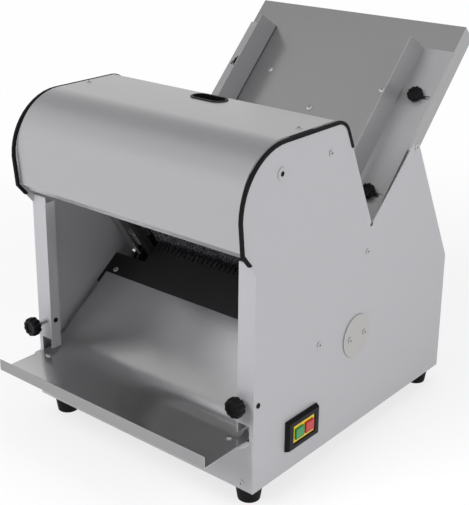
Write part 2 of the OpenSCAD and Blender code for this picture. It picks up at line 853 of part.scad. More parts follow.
// Crankshaft with two pairs of opposed eccentrics
module crankshaft() {
    color("silver") place() on_blades() {
        rod_x(shaft_r, -shaft_end, shaft_end);
        both() {
            translate([0, throw, 0]) rod_x(ecc_r, front_yoke_x, front_yoke_x + yoke_t);
            translate([0, -throw, 0]) rod_x(ecc_r, rear_yoke_x, rear_yoke_x + yoke_t);
        }
    }
}

bearing_hub_r = 24;
bearing_plate_t = 6;
module bearing(right) {
    color("darkgray") place() side(right) translate([0, crank_y, crank_z]) difference() {
        union() {
            rod_x(bearing_r, inner_x - bearing_plate_t, inner_x);
            rod_x(bearing_hub_r, inner_x - bearing_t, inner_x);
        }
        rod_x(shaft_r + run_fit, inner_x - bearing_t - cut, inner_x + cut);
    }
}
module bearing_left() { bearing(false); }
module bearing_right() { bearing(true); }

// Grooved pulley along X, drawn from its left face
module pulley(r, bore) {
    mid = pulley_t / 2;
    side_w = (pulley_t - belt_w) / 2 - belt_seat;
    rotate([90, 0, 90]) rotate_extrude() difference() {
        translate([bore, 0]) square([r - bore, pulley_t]);
        translate([r - groove_d, side_w]) square([groove_d + cut, pulley_t - side_w - side_w]);
    }
}

module driven_pulley() {
    color("dimgray") place() translate([-pulley_x - pulley_t, crank_y, crank_z]) pulley(big_pulley_r, shaft_r);
}

motor_shaft_r = 9;
motor_gap = 50;
motor_x = motor_gap - pulley_x;
motor_bore = 40;
module motor_pulley() {
    color("dimgray") place() translate([0, motor_y, motor_z]) {
        translate([-pulley_x - pulley_t, 0, 0]) pulley(small_pulley_r, motor_shaft_r);
        rod_x(motor_shaft_r, -pulley_x - pulley_t, motor_x + motor_bore - slide_fit);
    }
}

big_belt_r = big_pulley_r - groove_d + belt_seat;
small_belt_r = small_pulley_r - groove_d + belt_seat;
// Outline round both pulleys, grown by g
module belt_outline(g) {
    hull() {
        translate([crank_y, crank_z]) circle(big_belt_r + g);
        translate([motor_y, motor_z]) circle(small_belt_r + g);
    }
}
module drive_belt() {
    belt_x = -pulley_x - pulley_t / 2;
    color("black") place() across(belt_x - belt_w / 2, belt_x + belt_w / 2)
        difference() {
            belt_outline(belt_h);
            belt_outline(0);
        }
}

motor_cap = 14;
motor_step = 8;
motor_cap_r = motor_r - motor_step;
module motor() {
    color("steelblue") place() translate([motor_x, motor_y, motor_z]) difference() {
        union() {
            rod_x(motor_cap_r, 0, motor_len);
            rod_x(motor_r, motor_cap, motor_len - motor_cap);
        }
        rod_x(motor_shaft_r + run_fit, -cut, motor_bore);
    }
}

motor_foot_w = 130;
motor_foot_in = 40;
foot_block = 20;
// Bracket that holds the motor on the base
module motor_bracket() {
    color("gray") place() difference() {
        union() {
            for (x = [motor_x + motor_foot_in, motor_x + motor_len - motor_foot_in - foot_block])
                box([x, motor_y - motor_foot_w / 2, sheet],
                    [x + foot_block, motor_y + motor_foot_w / 2, motor_z]);
        }
        translate([0, motor_y, motor_z]) rod_x(motor_r + run_fit, motor_x, motor_x + motor_len);
    }
}

cover_r = 44;
cover_t = 3;
cover_screw_y = 25;
module bearing_covers() {
    color("lightgray") place() both() translate([0, crank_y, crank_z])
        rod_x(cover_r, half_w, half_w + cover_t);
}
module cover_screws() {
    color("dimgray") place() both()
        for (k = [-1, 1])
            translate([half_w + cover_t, crank_y + k * cover_screw_y, crank_z]) rotate([0, 90, 0]) screw_head();
}

// Screws of the side panels, in depth and height: hood stop, chute rail, comb tab, chute top
hood_stop_y = 204;
hood_stop_drop = 51;
rail_screw_in = 10;
rail_screw_drop = 52;
comb_screw_back = 12;
comb_screw_up = 1;
top_screw_in = 11;
top_screw_drop = 3;
panel_screw_places = [
    [hood_stop_y, body_h - hood_stop_drop], [v_y - rail_screw_in, v_z - rail_screw_drop],
    [tray_top_y + comb_screw_back, tray_top_z + comb_screw_up],
    [rear_top_y - top_screw_in, rear_top_z - top_screw_drop]
];
module panel_screws() {
    color("silver") place() {
        both() for (p = panel_screw_places)
            translate([half_w, p[0], p[1]]) rotate([0, 90, 0]) screw_head();
        both() translate([front_screw_x, -sheet, front_screw_z]) rotate([90, 0, 0]) screw_head();
    }
}

switch_bevel = 3;
plate_w = 64;
plate_h = 35;
plate_t = 2;
plate_gap = 1;
plate_sink = 4;
button_w = 25;
button_h = 21;
button_gap = 0.5;
button_out = 4;
button_travel = 3;
button_place = 15;
button_len = 13;
well_depth = 14;
// Moves a child to the switch: local X out of the panel, Y to the rear, Z up
module on_switch() {
    place() translate([half_w, switch_y, switch_z]) children();
}
module button_wells(gap, x0, x1) {
    for (k = [-1, 1])
        translate([0, k * button_place, 0])
            box([x0, -button_w / 2 - gap, -button_h / 2 - gap], [x1, button_w / 2 + gap, button_h / 2 + gap]);
}

// Bevelled switch frame with a well for each button
module switch_frame() {
    color("black") on_switch() difference() {
        union() {
            hull() {
                box([0, -switch_w / 2, -switch_h / 2], [plate_t, switch_w / 2, switch_h / 2]);
                box([0, switch_bevel - switch_w / 2, switch_bevel - switch_h / 2],
                    [switch_out, switch_w / 2 - switch_bevel, switch_h / 2 - switch_bevel]);
            }
            box([-well_depth, -switch_cut_w / 2 + plate_gap, -switch_cut_h / 2 + plate_gap],
                [0, switch_cut_w / 2 - plate_gap, switch_cut_h / 2 - plate_gap]);
        }
        box([switch_out - plate_sink, -plate_w / 2 - plate_gap, -plate_h / 2 - plate_gap],
            [switch_out + cut, plate_w / 2 + plate_gap, plate_h / 2 + plate_gap]);
        button_wells(button_gap, plate_t - well_depth, switch_out + cut);
    }
}

module switch_plate() {
    color("gold") on_switch() difference() {
        box([switch_out - plate_sink, -plate_w / 2, -plate_h / 2],
            [switch_out - plate_sink + plate_t, plate_w / 2, plate_h / 2]);
        button_wells(button_gap, 0, switch_out + cut);
    }
}

module button(k) {
    on_switch() translate([0, k * button_place, 0])
        box([switch_out - plate_sink + button_out - button_len, -button_w / 2, -button_h / 2],
            [switch_out - plate_sink + plate_t + button_out, button_w / 2, button_h / 2]);
}
module start_button() { color("green") button(-1); }
module stop_button() { color("red") button(1); }

side_panel_left();
side_panel_right();
edge_trim_left();
edge_trim_right();
base_plate();
front_panel();
rear_cover();
feet();
cable_gland();
hood();
hood_bracket_left();
hood_bracket_right();
hood_handle();
hood_screws();
pivot_bolt_left();
pivot_bolt_right();
chute_plate();
chute_rail_left();
chute_rail_right();
chute_screws();
guide_left();
guide_right();
guide_knob_upper_left();
guide_knob_lower_left();
guide_knob_upper_right();
guide_knob_lower_right();
discharge_tray();
discharge_comb();
tray_screws();
front_knob_left();
front_knob_right();
stud_nuts();
front_frame();
rear_frame();
front_blades();
rear_blades();
front_yoke_left();
front_yoke_right();
rear_yoke_left();
rear_yoke_right();
front_slide_blocks();
rear_slide_blocks();
guide_channel_left();
guide_channel_right();
crankshaft();
bearing_left();
bearing_right();
driven_pulley();
drive_belt();
motor();
motor_bracket();
motor_pulley();
bearing_covers();
cover_screws();
panel_screws();
switch_frame();
switch_plate();
start_button();
stop_button();
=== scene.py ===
# %% [markdown]
# # A table-top bread slicer
# The machine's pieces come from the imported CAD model. This lesson dresses them: it rounds their edges,
# gives each finish its own material, adds the small details, and sets the light and the camera.

# %% Load the machine
import json
import math

import bmesh
import bpy
from mathutils import Matrix, Vector


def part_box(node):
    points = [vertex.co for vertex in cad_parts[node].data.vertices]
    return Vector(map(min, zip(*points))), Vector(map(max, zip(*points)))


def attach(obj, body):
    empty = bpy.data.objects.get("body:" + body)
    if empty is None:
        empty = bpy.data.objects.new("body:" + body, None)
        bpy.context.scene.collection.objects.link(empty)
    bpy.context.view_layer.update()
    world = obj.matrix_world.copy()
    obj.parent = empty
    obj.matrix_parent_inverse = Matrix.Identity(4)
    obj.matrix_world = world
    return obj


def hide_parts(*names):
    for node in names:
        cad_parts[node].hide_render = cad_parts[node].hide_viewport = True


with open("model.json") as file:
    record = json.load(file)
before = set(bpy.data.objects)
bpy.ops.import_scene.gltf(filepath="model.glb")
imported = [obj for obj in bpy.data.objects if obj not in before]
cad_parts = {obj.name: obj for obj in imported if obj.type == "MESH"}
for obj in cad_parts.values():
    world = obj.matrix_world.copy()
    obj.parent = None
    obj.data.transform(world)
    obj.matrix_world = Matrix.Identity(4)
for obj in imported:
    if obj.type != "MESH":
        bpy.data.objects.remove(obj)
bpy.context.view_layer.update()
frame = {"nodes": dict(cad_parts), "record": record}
nodes = frame["nodes"]
record = frame["record"]
body_of_node = {n: b for b, ns in record["behaviour"]["bodies"].items() for n in ns}
slot_of_node = {s["node"]: s["material_slot"] for s in record["subparts"]}
MM = 0.001

# %% [markdown]
# ## Shader sums as Python sums
# A material's pattern is arithmetic on texture values. Wrapping a socket in a small class lets the sums
# be written as sums; any other node comes from one method.


# %% Sockets that add and multiply
class Field:
    """A shader value: the socket it comes from, and the tree it lives in."""

    def __init__(self, tree, socket):
        self.tree = tree
        self.socket = socket

    def node(self, kind, settings=None, values=None, out=0):
        made = self.tree.nodes.new(kind)
        for name, value in (settings or {}).items():
            setattr(made, name, value)
        for name, value in (values or {}).items():
            if isinstance(value, Field):
                self.tree.links.new(value.socket, made.inputs[name])
            else:
                made.inputs[name].default_value = value
        return Field(self.tree, made.outputs[out])

    def sum(self, operation, a, b):
        return self.node("ShaderNodeMath", {"operation": operation}, {0: a, 1: b})

    def __add__(self, other):
        return self.sum("ADD", self, other)

    def __sub__(self, other):
        return self.sum("SUBTRACT", self, other)

    def __rsub__(self, other):
        return self.sum("SUBTRACT", other, self)

    def __mul__(self, other):
        return self.sum("MULTIPLY", self, other)

    def mix(self, low, high):
        """Blends two colours by this value."""
        return self.node("ShaderNodeMix", {"data_type": "RGBA"}, {0: self, 6: low, 7: high}, out=2)


def rgba(colour):
    return (*colour, 1.0)


# %% [markdown]
# ## Finishes
# Every finish starts from a Principled shader. One helper opens the tree and hands out the object
# coordinates, another links colour, roughness and bump at the end. A noise can be stretched, and leaned to
# follow a slope.


# %% A finish from its parts
def open_finish(name):
    material = bpy.data.materials.new(name)
    material.use_nodes = True
    tree = material.node_tree
    tree.nodes.clear()
    shader = tree.nodes.new("ShaderNodeBsdfPrincipled")
    output = tree.nodes.new("ShaderNodeOutputMaterial")
    tree.links.new(shader.outputs[0], output.inputs[0])
    coordinates = tree.nodes.new("ShaderNodeTexCoord")
    return material, shader, Field(tree, coordinates.outputs["Object"])


def close_finish(shader, place, colour, roughness, bump=None, metallic=0.0, depth=0.0002, strength=0.3,
                 gloss=0.5):
    for name, value in (("Base Color", colour), ("Roughness", roughness)):
        if isinstance(value, Field):
            place.tree.links.new(value.socket, shader.inputs[name])
        else:
            shader.inputs[name].default_value = value
    shader.inputs["Metallic"].default_value = metallic
    shader.inputs["Specular IOR Level"].default_value = gloss
    if bump is not None:
        raised = place.node("ShaderNodeBump", None, {"Strength": strength, "Distance": depth, "Height": bump})
        place.tree.links.new(raised.socket, shader.inputs["Normal"])


def noise(place, scale, detail=3.0, stretch=(1, 1, 1), roughness=0.5, lean=0.0):
    upright = place.node("ShaderNodeMapping", None, {"Vector": place, "Rotation": (-lean, 0, 0)})
    spread = place.node("ShaderNodeMapping", None, {"Vector": upright, "Scale": stretch})
    return place.node("ShaderNodeTexNoise", None, {
        "Vector": spread, "Scale": scale, "Detail": detail, "Roughness": roughness})


def tinted(shade, tint, contrast):
    """A colour that swings about its tint, darker and lighter by the same share."""
    dark = tuple(c * (1 - contrast) for c in tint)
    light = tuple(min(1.0, c * (1 + contrast)) for c in tint)
    return shade.mix(rgba(dark), rgba(light))


# %% [markdown]
# ## Brushed sheet
# Brushing leaves fine scratches in one direction, so noise is squeezed hard across them. The same noise
# varies colour, roughness and height, and a slow second noise clouds the sheet like handling does.

# %% Brushed steel, for any direction of brushing
SCRATCH_SCALE, SCRATCH_DETAIL, SCRATCH_ROUGH, SCRATCH_SHARE = 14.0, 4.0, 0.65, 0.75
BRUSH_CLOUD_SCALE = 5.0
BRUSH_DEPTH, BRUSH_STRENGTH = 0.06 * MM, 0.12


def brushed(name, tint, stretch, rough=(0.30, 0.44), metallic=0.9, contrast=0.07, lean=0.0):
    material, shader, place = open_finish(name)
    scratches = noise(place, SCRATCH_SCALE, SCRATCH_DETAIL, stretch, SCRATCH_ROUGH, lean)
    cloud = noise(place, BRUSH_CLOUD_SCALE)
    shade = scratches * SCRATCH_SHARE + cloud * (1 - SCRATCH_SHARE)
    colour = tinted(shade, tint, contrast)
    roughness = shade * (rough[1] - rough[0]) + rough[0]
    close_finish(shader, place, colour, roughness, scratches, metallic, BRUSH_DEPTH, BRUSH_STRENGTH)
    return material


print("brushing: scale", SCRATCH_SCALE, "depth", BRUSH_DEPTH)

# %% [markdown]
# ## Painted and moulded surfaces
# Paint, plastic and rubber share one recipe: a fine grain gives the bump, and a slow cloud varies colour and
# roughness a little. The table of finishes then names every surface of the machine. Some are the material
# slots of the CAD model, and the others are for single pieces that look different from their slot.

# %% Painted finishes, and the table of all finishes
GRAIN_DETAIL, GRAIN_SHARE, GRAIN_DEPTH = 2.0, 0.4, 0.1 * MM
PAINT_CLOUD_SCALE, PAINT_CLOUD_DETAIL = 6.0, 4.0
ROUGH_SWING = 0.06


def painted(name, tint, rough=0.45, grain=420.0, metallic=0.0, contrast=0.04, strength=0.08, gloss=0.5):
    material, shader, place = open_finish(name)
    orange_peel = noise(place, grain, GRAIN_DETAIL)
    cloud = noise(place, PAINT_CLOUD_SCALE, PAINT_CLOUD_DETAIL)
    shade = orange_peel * GRAIN_SHARE + cloud * (1 - GRAIN_SHARE)
    colour = tinted(shade, tint, contrast)
    roughness = cloud * (2 * ROUGH_SWING) + (rough - ROUGH_SWING)
    close_finish(shader, place, colour, roughness, orange_peel, metallic, GRAIN_DEPTH, strength, gloss)
    return material


CHUTE_LEAN = math.radians(46.0)
ACROSS = (1, 60, 60)
DOWN_THE_SLOPE = (60, 1, 60)
OUT_OF_THE_FRONT = (60, 1, 1)
EVENLY = (12, 12, 12)
finishes = {
    "panel_sheet": painted("satin_panel", (0.44, 0.437, 0.448), 0.45, 520.0, 0.1),
    "cover_sheet": painted("satin_cover", (0.425, 0.418, 0.402), 0.42, 520.0, 0.1),
    "brushed_sheet": brushed("brushed_chute", (0.37, 0.37, 0.373), DOWN_THE_SLOPE, (0.20, 0.30), 0.9, 0.07,
                             CHUTE_LEAN),
    "guide_sheet": brushed("brushed_guide", (0.35, 0.35, 0.352), DOWN_THE_SLOPE, (0.28, 0.38), 0.45, 0.07,
                           CHUTE_LEAN),
    "tray_sheet": brushed("brushed_tray", (0.45, 0.45, 0.45), OUT_OF_THE_FRONT, (0.14, 0.24), 0.88, 0.08),
    # A darker copy of the tray's steel for its front-facing faces: painted shade.
    "tray_back_painted_shade": brushed("tray_back_painted_shade", (0.33, 0.33, 0.332), ACROSS, (0.30, 0.45), 0.8, 0.12),
    "hood_sheet": brushed("brushed_hood", (0.43, 0.43, 0.436), ACROSS, (0.27, 0.38), 0.74),
    # The hood's inside is painted paler than its outside: painted light for the tray to mirror.
    "hood_inside_painted_light": painted("hood_inside_painted_light", (0.55, 0.55, 0.55), 0.5, 300.0),
    # The steel inside the machine is painted near-black: painted shade for the dim interior.
    "inner_steel": painted("inside_painted_shade", (0.030, 0.030, 0.031), 0.5, 300.0, 0.2, 0.1, 0.1, 0.25),
    # The comb plate is steel painted near-black: painted shade and a painted dark reflection.
    "comb_painted_shade": painted("comb_painted_shade", (0.012, 0.012, 0.0125), 0.4, 300.0, 0.2, 0.1, 0.1, 0.2),
    "rail_steel": painted("rail_steel", (0.22, 0.22, 0.215), 0.42, 300.0, 0.5),
    "bright_steel": brushed("bright_steel", (0.72, 0.72, 0.73), EVENLY, (0.18, 0.30), 1.0),
    "satin_steel": painted("satin_steel", (0.47, 0.465, 0.47), 0.38, 600.0, 0.45),
    "blade_steel": brushed("blade_steel", (0.40, 0.40, 0.41), EVENLY, (0.20, 0.34), 1.0),
    "black_rubber": painted("black_rubber", (0.006, 0.006, 0.0065), 0.66, 700.0, 0.0, 0.25, 0.25, 0.12),
    "black_plastic": painted("black_plastic", (0.004, 0.004, 0.0045), 0.42, 900.0, 0.0, 0.25, 0.2, 0.15),
    "white_plastic": painted("grey_nylon", (0.20, 0.20, 0.195), 0.4, 400.0),
    "cast_iron": painted("cast_iron", (0.06, 0.06, 0.063), 0.6, 260.0, 0.4, 0.2, 0.5),
    "motor_paint": painted("motor_paint", (0.10, 0.15, 0.20), 0.4, 350.0),
    "yellow_plate": painted("yellow_plate", (0.80, 0.56, 0.03), 0.4, 500.0),
    "green_button": painted("green_button", (0.02, 0.26, 0.06), 0.28, 500.0),
    "red_button": painted("red_button", (0.50, 0.02, 0.02), 0.28, 500.0),
}
print("finishes:", len(finishes))

# %% [markdown]
# ## Soft edges
# Real sheet has a bend radius and moulded parts have rounded edges, and those thin highlights are what the
# eye reads as metal or plastic. A merged copy of each visible CAD piece gets a bevel and smooth shading, and
# stands in for the sharp one. The other pieces only take their finish.

# %% Merged copies with rounded edges
FLAT_ANGLE = math.radians(1.0)
SHARP_ANGLE = math.radians(32.0)
MERGE_DISTANCE = 0.01 * MM
OWN_FINISH = {"hood": "hood_sheet", "discharge_tray": "tray_sheet", "guide_channel_left": "rail_steel",
              "guide_channel_right": "rail_steel", "guide_left": "guide_sheet", "guide_right": "guide_sheet",
              "chute_rail_left": "panel_sheet", "chute_rail_right": "panel_sheet",
              "discharge_comb": "comb_painted_shade",
              "pivot_bolt_left": "satin_steel", "pivot_bolt_right": "satin_steel",
              "panel_screws": "satin_steel", "cover_screws": "satin_steel",
              "bearing_covers": "cover_sheet"}


def finish_of(node):
    return finishes[OWN_FINISH.get(node, slot_of_node[node])]


def stand_in(name, node, mesh):
    """Puts a finished mesh in place of a CAD node, on the node's own body."""
    piece = bpy.data.objects.new(name, mesh)
    bpy.context.collection.objects.link(piece)
    mesh.materials.append(finish_of(node))
    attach(piece, body_of_node[node])
    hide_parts(node)
    return piece


def fitted(name, carrier, mesh, slot):
    """A small new piece on the body of the CAD node that carries it."""
    piece = bpy.data.objects.new(name, mesh)
    bpy.context.collection.objects.link(piece)
    mesh.materials.append(finishes[slot])
    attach(piece, body_of_node[carrier])
    return piece


def merged(node):
    shape = bmesh.new()
    shape.from_mesh(nodes[node].data)
    bmesh.ops.remove_doubles(shape, verts=shape.verts, dist=MERGE_DISTANCE)
    return shape


def to_mesh(shape, name):
    mesh = bpy.data.meshes.new(name)
    shape.to_mesh(mesh)
    shape.free()
    mesh.shade_smooth()
    mesh.set_sharp_from_angle(angle=SHARP_ANGLE)
    return mesh


def softened(node, width, segments=2, second=None, finish=None):
    """Rounds a node's edges; the faces that second(face) picks take another finish."""
    shape = merged(node)
    bmesh.ops.dissolve_limit(shape, angle_limit=FLAT_ANGLE, verts=shape.verts, edges=shape.edges)
    if second:
        shape.normal_update()
        for face in shape.faces:
            face.material_index = int(second(face))
    piece = stand_in(node + "_soft", node, to_mesh(shape, node + "_soft"))
    if second:
        piece.data.materials.append(finishes[finish])
    bevel = piece.modifiers.new("edges", "BEVEL")
    bevel.width = width
    bevel.segments = segments
    bevel.limit_method = "ANGLE"
    bevel.angle_limit = SHARP_ANGLE
    bevel.use_clamp_overlap = True
    bevel.harden_normals = True
    return piece


SHEET_EDGE = 0.6 * MM
MOULD_EDGE = 1.0 * MM
ROUNDED_EDGE = 0.9 * MM
COVER_EDGE = 1.6 * MM
ROUND_STEPS = 3
FACES_FRONT = -0.9
sheet_nodes = ["side_panel_left", "side_panel_right", "front_panel", "rear_cover",
               "guide_channel_left", "guide_channel_right", "front_frame",
               "rear_frame", "base_plate", "hood_bracket_left", "hood_bracket_right"]
rounded_nodes = ["chute_plate", "guide_left", "guide_right"]
mould_nodes = ["edge_trim_left", "edge_trim_right", "hood_handle", "switch_frame", "switch_plate",
               "start_button", "stop_button", "feet", "cable_gland"]
for node in sheet_nodes:
    softened(node, SHEET_EDGE)
for node in rounded_nodes:
    softened(node, ROUNDED_EDGE, ROUND_STEPS)
for node in mould_nodes:
    softened(node, MOULD_EDGE, ROUND_STEPS)
softened("bearing_covers", COVER_EDGE, ROUND_STEPS)
for node, thing in nodes.items():
    thing.data.materials.clear()
    thing.data.materials.append(finish_of(node))
# The tray's front-facing faces take the darker copy of its steel, which is painted shade.
softened("discharge_tray", MOULD_EDGE, ROUND_STEPS, lambda face: face.normal.y < FACES_FRONT, "tray_back_painted_shade")
print("softened:", len(sheet_nodes) + len(rounded_nodes) + len(mould_nodes) + 2)

# %% [markdown]
# ## The hood, painted pale inside
# Only the outside of the hood is brushed. Its inside is painted a paler, even grey as painted light, so that
# the tray mirrors a bright reflection of it. A face belongs to the inside when it looks towards the middle of
# the hood's underside.

# %% Brushed outside, inside painted pale as painted light
MIDDLE_BACK = 60 * MM
SIDE_FACING, INWARD_FACING = 0.5, 0.3
hood_low, hood_high = (Vector(corner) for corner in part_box("hood"))
under_hood = Vector((0, (hood_low.y + hood_high.y) / 2 + MIDDLE_BACK, hood_low.z))


def looks_inward(face):
    to_middle = under_hood - face.calc_center_median()
    to_middle.x = 0
    return abs(face.normal.x) < SIDE_FACING and face.normal.dot(to_middle.normalized()) > INWARD_FACING


# Faces looking inward take the pale finish, which is painted light.
softened("hood", SHEET_EDGE, 2, looks_inward, "hood_inside_painted_light")
print("hood spans", [round(c, 3) for c in hood_low], [round(c, 3) for c in hood_high])

# %% [markdown]
# ## Screws
# The machine is held together by pan-head screws with a cross recess. One head is made from a small grid: its
# square outline is drawn in to a circle, the middle faces are pushed in as the cross, and the rim is drawn
# down to the sheet. The recess takes the second material of each copy, a black one, as painted shade for the
# dark inside the cross. Copies of the head then sit where the CAD screws sit.

# %% One screw head, radius 1 and height 1
CELLS = 9
CROSS_REACH, CROSS_HALF, CROSS_DEEP, CROSS_EDGE = 0.55, 0.1, 0.4, 0.02
DOME = 0.4
NEARLY_ZERO = 1e-6


def in_cross(face):
    middle = face.calc_center_median()
    return middle.length < CROSS_REACH and min(abs(middle.x), abs(middle.y)) < CROSS_HALF


def screw_head():
    shape = bmesh.new()
    bmesh.ops.create_grid(shape, x_segments=CELLS, y_segments=CELLS, size=1.0)
    for vert in shape.verts:
        reach = max(abs(vert.co.x), abs(vert.co.y))
        vert.co *= reach / max(vert.co.length, NEARLY_ZERO)
    cross = [f for f in shape.faces if in_cross(f)]
    rim = [e for e in shape.edges if e.is_boundary]
    for vert in shape.verts:
        vert.co.z = 1.0 - DOME * vert.co.length_squared
    walls = bmesh.ops.inset_region(shape, faces=cross, thickness=CROSS_EDGE, depth=-CROSS_DEEP)["faces"]
    # The cross takes the black second material: painted shade.
    for face in cross + walls:
        face.material_index = 1
    drawn = bmesh.ops.extrude_edge_only(shape, edges=rim)["geom"]
    for vert in (g for g in drawn if isinstance(g, bmesh.types.BMVert)):
        vert.co.z = 0.0
    bmesh.ops.holes_fill(shape, edges=[e for e in shape.edges if e.is_boundary], sides=0)
    bmesh.ops.recalc_face_normals(shape, faces=shape.faces)
    return to_mesh(shape, "screw_head")


screw = screw_head()
print("screw head faces:", len(screw.polygons))


# %% Copies of a head on many seats
def add_copy(shape, template, place, out, radius, height):
    """Adds a unit shape that stands on a place and faces a direction."""
    first = len(shape.verts)
    shape.from_mesh(template)
    shape.verts.ensure_lookup_table()
    turn = out.to_track_quat("Z", "Y").to_matrix().to_4x4()
    size = Matrix.Diagonal((radius, radius, height, 1.0))
    bmesh.ops.transform(shape, matrix=Matrix.Translation(place) @ turn @ size, verts=shape.verts[first:])


def seated(template, seats, radius, height):
    """Copies of a unit shape, one on each seat: a place and the direction it faces."""
    shape = bmesh.new()
    for place, out in seats:
        add_copy(shape, template, place, out, radius, height)
    return shape


def islands(node):
    """The corner lists of a node's separate solids."""
    shape = merged(node)
    left = set(shape.verts)
    groups = []
    while left:
        group, edge = set(), [left.pop()]
        while edge:
            vert = edge.pop()
            group.add(vert)
            fresh = {e.other_vert(vert) for e in vert.link_edges} & left
            left -= fresh
            edge.extend(fresh)
        groups.append([v.co.copy() for v in group])
    shape.free()
    return groups


def seats_of(node, facing):
    """Where each solid of a node sits: its middle, brought down to its lowest point along its direction."""
    seats = []
    for corners in islands(node):
        middle = sum(corners, Vector()) / len(corners)
        out = facing(middle)
        seats.append((middle + out * (min(c.dot(out) for c in corners) - middle.dot(out)), out))
    return seats


SCREW_RADIUS, SCREW_HIGH = 6 * MM, 3 * MM
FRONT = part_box("front_panel")[1][1]
CHUTE_NORMAL = Vector((0, -math.sin(CHUTE_LEAN), math.cos(CHUTE_LEAN)))


def outward(middle):
    if middle.y < FRONT:
        return Vector((0, -1, 0))
    return Vector((math.copysign(1, middle.x), 0, 0))


facing_of = {"hood_screws": lambda p: Vector((0, 0, 1)), "tray_screws": lambda p: Vector((0, 0, 1)),
             "chute_screws": lambda p: CHUTE_NORMAL, "panel_screws": outward, "cover_screws": outward}
for node, facing in facing_of.items():
    seats = seats_of(node, facing)
    piece = stand_in(node + "_cross", node, to_mesh(seated(screw, seats, SCREW_RADIUS, SCREW_HIGH), node))
    # Black for the cross recess: painted shade.
    piece.data.materials.append(finishes["black_plastic"])
    print(node, len(seats))

# %% [markdown]
# ## Star knobs
# A moulded knob starts as a turned head: half its outline is spun about the axis. Ten soft bites are then
# taken out of the rim by drawing the points inwards where a cosine is high, and plain rods make the collar
# and stud.

# %% One knob head and one rod, radius 1 and height 1
HEAD = [(0, 0), (0.74, 0), (0.90, 0.05), (0.97, 0.14), (1, 0.28), (1, 0.70), (0.96, 0.87), (0.88, 0.97),
        (0.76, 1), (0.57, 1), (0.52, 0.97), (0.50, 0.86), (0, 0.86)]
BITES, BITE_DEEP, BITE_FROM = 10, 0.14, 0.60
STEPS_PER_BITE = 12
UNIT_MERGE = 0.0001
ROD_SIDES = 32


def knob_head():
    shape = bmesh.new()
    outline = [shape.verts.new((reach, 0, up)) for reach, up in HEAD]
    edges = [shape.edges.new(pair) for pair in zip(outline, outline[1:])]
    bmesh.ops.spin(shape, geom=outline + edges, cent=(0, 0, 0), axis=(0, 0, 1), angle=math.tau,
                   steps=STEPS_PER_BITE * BITES, use_merge=True)
    bmesh.ops.remove_doubles(shape, verts=shape.verts, dist=UNIT_MERGE)
    for vert in shape.verts:
        reach = math.hypot(vert.co.x, vert.co.y)
        if reach > BITE_FROM:
            wave = (1 + math.cos(BITES * math.atan2(vert.co.y, vert.co.x))) / 2
            shrink = 1 - BITE_DEEP * wave ** 2 * (reach - BITE_FROM) / (1 - BITE_FROM) / reach
            vert.co.x *= shrink
            vert.co.y *= shrink
    bmesh.ops.recalc_face_normals(shape, faces=shape.faces)
    return to_mesh(shape, "knob_head")


def rod_template():
    shape = bmesh.new()
    bmesh.ops.create_cone(shape, cap_ends=True, segments=ROD_SIDES, radius1=1.0, radius2=1.0, depth=1.0)
    bmesh.ops.translate(shape, verts=shape.verts, vec=(0, 0, 0.5))
    return to_mesh(shape, "rod")


head, rod = knob_head(), rod_template()
print("knob head faces:", len(head.polygons))

# %% [markdown]
# Each knob sits on its joint, and faces along the joint's axis. Its sizes are the head's radius, the head's
# height and the collar's length, in millimetres.

# %% Knobs on their joints
KNOB_SIZE = {"front_knob_left": (19, 19, 28), "front_knob_right": (19, 19, 9)}
GUIDE_KNOB = (16.5, 12, 2)
COLLAR, STUD = 5.5 * MM, 4.0 * MM
joints = {joint["name"]: joint for joint in record["behaviour"]["joints"]}
for joint in joints.values():
    node = joint["child"]
    if "knob" not in node:
        continue
    radius, height, collar = (size * MM for size in KNOB_SIZE.get(node, GUIDE_KNOB))
    foot, out = Vector(joint["pos_m"]), Vector(joint["axis"])
    reach = [(corner - foot).dot(out) for corner in islands(node)[0]]
    back = max(reach) - height
    shape = seated(head, [(foot + out * back, out)], radius, height)
    moulded = len(shape.faces)
    rods = ((back - collar, COLLAR, collar + MM), (min(reach), STUD, back - collar - min(reach)))
    for start, thick, length in rods:
        add_copy(shape, rod, foot + out * start, out, thick, length)
    shape.faces.ensure_lookup_table()
    for face in shape.faces[moulded:]:
        face.material_index = 1
    piece = stand_in(node + "_moulded", node, to_mesh(shape, node))
    piece.data.materials.append(finishes["bright_steel"])
    print(node, "stands", round(max(reach), 4))

# %% [markdown]
# ## Hole plugs
# Beside each front knob a black rubber plug closes a hole in the side panel, and another closes the hole in
# its return.

# %% Plugs
PLUG_BACK, PLUG_RADIUS, PLUG_HIGH = 12 * MM, 5.0 * MM, 1.2 * MM
PANEL_FACE, RETURN_FACE = 280 * MM, 243 * MM
plugs = []
for side in (-1, 1):
    beside = Vector(joints["front_knob_left_turn"]["pos_m"]) + Vector((0, PLUG_BACK, 0))
    for face, way in ((PANEL_FACE, side), (RETURN_FACE, -side)):
        plugs.append((Vector((side * face, beside.y, beside.z)), Vector((way, 0, 0))))
plug_heads = to_mesh(seated(rod, plugs, PLUG_RADIUS, PLUG_HIGH), "side_plugs")
fitted("side_plugs", "side_panel_left", plug_heads, "black_rubber")
print("plugs:", len(plugs))
